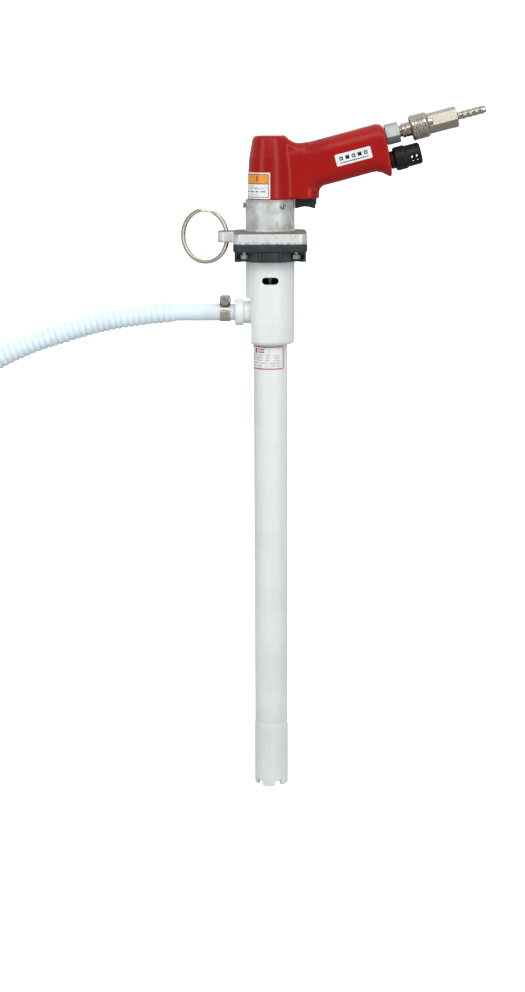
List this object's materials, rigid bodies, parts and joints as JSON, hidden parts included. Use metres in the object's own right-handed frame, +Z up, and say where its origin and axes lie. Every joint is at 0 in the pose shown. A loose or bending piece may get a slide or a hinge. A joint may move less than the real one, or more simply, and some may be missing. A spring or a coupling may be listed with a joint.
{
  "type": "rotary hand transfer pump",
  "caption": "Hand-held air motor barrel pump: pistol grip with trigger on a slim suction tube, with a corrugated discharge hose and a quick coupler for air.",
  "frame": {"origin": "on the drive axis, at the discharge head's bottom shoulder, which rests on a container's neck", "axes": "+Z up along the drive axis, +X towards the grip and the air coupler, -X towards the discharge hose"},
  "size_m": [0.7771, 0.1356, 0.6586],
  "materials": {
    "red_paint": "gloss red enamel on a smooth cast shell",
    "cast_aluminium": "as-cast, with a machined flange",
    "zinc_steel": "zinc plated",
    "dark_flange_plastic": "satin moulded",
    "black_rubber": "matte",
    "ring_steel": "bright drawn flat wire",
    "black_plastic": "satin moulded",
    "brass": "machined",
    "white_nylon": "machined",
    "stainless": "bright",
    "spring_steel": "plain",
    "nickel_plate": "satin nickel plate",
    "felt": "pressed felt",
    "motor_steel": "ground",
    "vane_laminate": "fabric laminate",
    "end_plate_aluminium": "machined",
    "spider_rubber": "matte",
    "white_polypropylene": "satin, slightly translucent",
    "impeller_plastic": "moulded",
    "label_white": "printed film",
    "label_orange": "printed film",
    "hose_plastic": "translucent corrugated polyethylene",
    "tie_strap": "hook-and-loop strap"
  },
  "bodies": {
    "pump": {"grip_housing": "red_paint", "motor_casing": "cast_aluminium", "casing_screws": "zinc_steel", "flange_screws": "zinc_steel", "flange_seal": "black_rubber", "coupling_flange": "dark_flange_plastic", "trigger_pin": "zinc_steel", "valve_body": "brass", "valve_seat": "white_nylon", "valve_spring": "spring_steel", "spring_cap": "brass", "inlet_bushing": "zinc_steel", "coupler_plug": "nickel_plate", "exhaust_muffler": "black_plastic", "muffler_felt": "felt", "motor_cylinder": "motor_steel", "upper_end_plate": "end_plate_aluminium", "lower_end_plate": "end_plate_aluminium", "upper_bearing": "motor_steel", "lower_bearing": "motor_steel", "shaft_bushes": "white_nylon", "shaft_seal": "black_rubber", "upper_bush": "white_nylon", "guide_tube": "white_polypropylene", "pump_head": "white_polypropylene", "outlet_nut": "white_polypropylene", "hose_nipple": "white_polypropylene", "clamp_band": "stainless", "clamp_housing": "stainless", "clamp_screw": "stainless", "suction_tube": "white_polypropylene", "foot_casing": "white_polypropylene", "foot_bearing": "white_nylon", "name_plate": "label_white", "barrel_label": "label_orange", "tube_label": "label_white", "hose_cuff": "hose_plastic", "hose_run": "hose_plastic", "hose_hank": "hose_plastic", "hose_tie": "tie_strap"},
    "trigger": {"trigger": "black_plastic"},
    "valve": {"valve_stem": "stainless"},
    "drive": {"motor_rotor": "motor_steel", "motor_vanes": "vane_laminate", "motor_coupling": "end_plate_aluminium", "coupling_spider": "spider_rubber", "shaft_coupling": "end_plate_aluminium", "drive_shaft": "stainless", "impeller": "impeller_plastic", "impeller_nut": "zinc_steel"},
    "ring": {"key_ring": "ring_steel"},
    "coupler": {"coupler_body": "nickel_plate", "coupler_balls": "stainless", "coupler_seal": "black_rubber", "sleeve_spring": "spring_steel", "coupler_valve": "brass", "hose_tail": "nickel_plate"},
    "sleeve": {"coupler_sleeve": "nickel_plate"}
  },
  "joints": [
    {"name": "trigger_slide", "type": "slide", "parent": "pump", "child": "trigger", "axis": [0, 0, 1], "range_m": [0, 0.005], "stiffness_N_per_m": 900, "springref_m": -0.004},
    {"name": "valve_slide", "type": "slide", "parent": "pump", "child": "valve", "axis": [0, 0, 1], "range_m": [0, 0.005], "stiffness_N_per_m": 300, "springref_m": -0.004, "deforming": ["valve_spring"]},
    {"name": "drive_spin", "type": "hinge", "parent": "pump", "child": "drive", "pos_m": [0, 0, 0], "axis": [0, 0, 1], "continuous": true},
    {"name": "ring_swing", "type": "hinge", "parent": "pump", "child": "ring", "pos_m": [-0.041, 0, 0.1002], "axis": [0, 0, 1], "range_deg": [-40, 100]},
    {"name": "coupler_swivel", "type": "hinge", "parent": "pump", "child": "coupler", "pos_m": [0.13578, 0, 0.2004], "axis": [0.9681, 0, 0.2504], "continuous": true},
    {"name": "sleeve_slide", "type": "slide", "parent": "coupler", "child": "sleeve", "axis": [0.9681, 0, 0.2504], "range_m": [0, 0.0035], "stiffness_N_per_m": 900, "springref_m": -0.003, "deforming": ["sleeve_spring"]}
  ],
  "couplings": [
    {"joint": "valve_slide", "follows": "trigger_slide", "ratio": 1}
  ]
}
